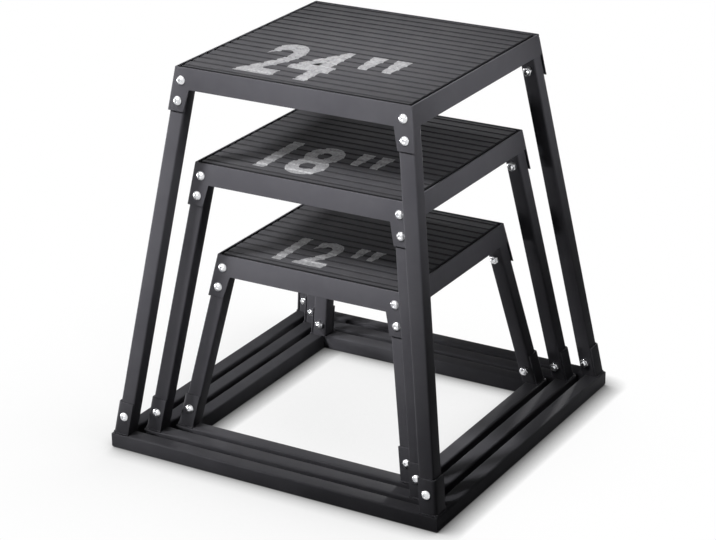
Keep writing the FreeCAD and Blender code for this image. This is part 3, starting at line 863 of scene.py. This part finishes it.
matTree, boltTree, beadTree = ribTree(), fastenerTree(), weldTree()
boltModel = newObject("boltModel", boltShape())
nutModel = newObject("nutModel", nutShape())
for seed, box in enumerate(boxNames, start=1):
    layout = readLayout(box)
    platformTray(box, layout)
    ribbedMat(box, layout, matTree)
    heightMark(box, layout)
    for corner in cornerSigns:
        legTube(box, layout, corner)
        cornerSocket(box, layout, corner)
    for side in sideTurns:
        baseRail(box, layout, side)
    seats = list(boltSeats(layout))
    headSeats = [(seat, aim) for seat, aim, grip in seats]
    nutSeats = [(seat - grip * aim, aim) for seat, aim, grip in seats]
    fastenerSet(box, "button_bolts", "bolts", boltModel, boltTree, headSeats, seed)
    fastenerSet(box, "hexagon_nuts", "nuts", nutModel, boltTree, nutSeats, seed + len(boxNames))
    weldBeads(box, layout, beadTree, seed)
    print(box, "box dressed")
for model in (boltModel, nutModel):
    bpy.data.objects.remove(model)


# Floor, background and light
# The side and back lamps fill the hidden faces, and the two high ones light boxes that are lifted

stageLook = {"floorHalf": 12.0, "floorShade": (0.3, 0.3, 0.3, 1), "ambient": (0.95, 0.97, 1.0, 1),
             "ambientStrength": 0.02, "shadowSamples": 16,
             "contactReach": 0.038, "contactTilt": (-0.6, -0.3, 1.0), "contactPower": 1.7,
             "coverReach": 0.4, "coverTilt": (0.6, 0.8, 1.0), "coverPower": 0.27}
lampLook = {
    "key": {"spot": (-0.15, -1.6, 2.1), "aim": (0.1, -0.2, 0.62), "beam": 13, "size": 0.25, "power": 626},
    "left": {"spot": (-1.2, -1.3, 2.1), "aim": (-0.2, -0.22, 0.5), "beam": 22, "size": 0.25, "power": 450},
    "low": {"spot": (-0.8, -2.0, 1.0), "aim": (-0.3, -0.26, 0.25), "beam": 12, "size": 0.25, "power": 300},
    "right": {"spot": (1.9, -0.1, 1.2), "aim": (0.2, 0, 0.57), "beam": 14, "size": 0.25, "power": 395},
    "top": {"spot": (-0.6, 1.2, 2.4), "aim": (-0.05, 0.1, 0.61), "beam": 12, "size": 0.25, "power": 330},
    "side": {"spot": (-2.0, -0.3, 0.22), "aim": (0, 0, 0.5), "beam": 54, "size": 0.08, "power": 190},
    "back": {"spot": (-0.15, 2.0, 0.22), "aim": (0, 0, 0.5), "beam": 54, "size": 0.08, "power": 170},
    "highFront": {"spot": (-0.7, -2.3, 1.75), "aim": (0, 0, 1.3), "beam": 22, "size": 0.25, "power": 800},
    "highRight": {"spot": (2.2, -0.2, 1.7), "aim": (0, 0, 1.3), "beam": 22, "size": 0.25, "power": 480}}


def splitByRay(tree, lighting, seen):  # camera, mirror and glass rays meet the shader that is seen
    path = addNode(tree, "ShaderNodeLightPath")
    share = path.outputs["Is Camera Ray"]
    for other in ("Is Glossy Ray", "Is Transmission Ray"):
        share = compute(tree, "MAXIMUM", share, path.outputs[other])
    both = addNode(tree, "ShaderNodeMixShader", {0: share, 1: lighting.outputs[0], 2: seen.outputs[0]})
    return both.outputs[0]


def studioFloor():
    bm = bmesh.new()
    bmesh.ops.create_grid(bm, x_segments=1, y_segments=1, size=stageLook["floorHalf"])
    floor = newObject("studioFloor", meshFrom(bm, "studioFloor"))
    material = bpy.data.materials.new("paleStudioFloor")
    material.use_nodes = True
    tree = material.node_tree
    tree.nodes.clear()
    matt = addNode(tree, "ShaderNodeBsdfDiffuse", {"Color": stageLook["floorShade"]})
    tone = 1.0
    for shadow in ("contact", "cover"):    # a narrow dark line at the rails, and a wide soft shade
        tilt = Vector(stageLook[shadow + "Tilt"]).normalized()
        upward = addNode(tree, "ShaderNodeCombineXYZ", dict(enumerate(tilt)))
        clear = addNode(tree, "ShaderNodeAmbientOcclusion",
                        {"Distance": stageLook[shadow + "Reach"], "Normal": upward.outputs[0]},
                        samples=stageLook["shadowSamples"])
        share = compute(tree, "POWER", clear.outputs["AO"], stageLook[shadow + "Power"])
        tone = product(tree, tone, share)
    shade = addNode(tree, "ShaderNodeCombineColor", {0: tone, 1: tone, 2: tone})
    glow = addNode(tree, "ShaderNodeEmission", {"Color": shade.outputs[0], "Strength": 1.0})
    addNode(tree, "ShaderNodeOutputMaterial", {"Surface": splitByRay(tree, matt, glow)})
    floor.data.materials.append(material)


def studioWorld():
    world = bpy.data.worlds.new("whiteStudio")
    world.use_nodes = True
    tree = world.node_tree
    tree.nodes.clear()
    soft = addNode(tree, "ShaderNodeBackground", {"Color": stageLook["ambient"],
                                                  "Strength": stageLook["ambientStrength"]})
    white = addNode(tree, "ShaderNodeBackground", {"Color": (1, 1, 1, 1), "Strength": 1.0})
    addNode(tree, "ShaderNodeOutputWorld", {"Surface": splitByRay(tree, soft, white)})
    scene.world = world


def studioLamp(name, look):            # a soft beam that fades towards its edge
    lamp = bpy.data.lights.new(name + "Lamp", "SPOT")
    lamp.shadow_soft_size = look["size"]
    lamp.spot_size = math.radians(look["beam"])
    lamp.spot_blend = 1.0
    lamp.energy = look["power"]
    holder = bpy.data.objects.new(name + "Lamp", lamp)
    holder.location = look["spot"]
    holder.rotation_euler = (Vector(look["aim"]) - Vector(look["spot"])).to_track_quat("-Z", "Y").to_euler()
    scene.collection.objects.link(holder)


studioFloor()
studioWorld()
for name, look in lampLook.items():
    studioLamp(name, look)
print("floor, background and lamps set")


# Camera at the photographed view

cameraLook = {"azimuth": 30.66, "elevation": 22.32, "roll": -0.78, "distance": 3.6332,
              "target": (-0.0092, -0.0002, 0.2493), "focalPixels": 2322.96, "imageWidth": 716, "sensor": 36.0}


def photoCamera():
    look = cameraLook
    azimuth, elevation = math.radians(look["azimuth"]), math.radians(look["elevation"])
    level = math.cos(elevation)
    back = Vector((math.sin(azimuth) * level, -math.cos(azimuth) * level, math.sin(elevation)))
    right = Vector((math.cos(azimuth), math.sin(azimuth), 0))
    facing = Matrix((right, back.cross(right), back)).transposed()
    camera = bpy.data.cameras.new("photoCamera")
    camera.sensor_width = look["sensor"]
    camera.sensor_fit = "HORIZONTAL"
    camera.lens = look["focalPixels"] * look["sensor"] / look["imageWidth"]
    holder = bpy.data.objects.new("photoCamera", camera)
    turned = facing.to_4x4() @ Matrix.Rotation(math.radians(look["roll"]), 4, "Z")
    holder.matrix_world = Matrix.Translation(Vector(look["target"]) + look["distance"] * back) @ turned
    scene.collection.objects.link(holder)
    scene.camera = holder


photoCamera()
scene.view_settings.view_transform = "Standard"
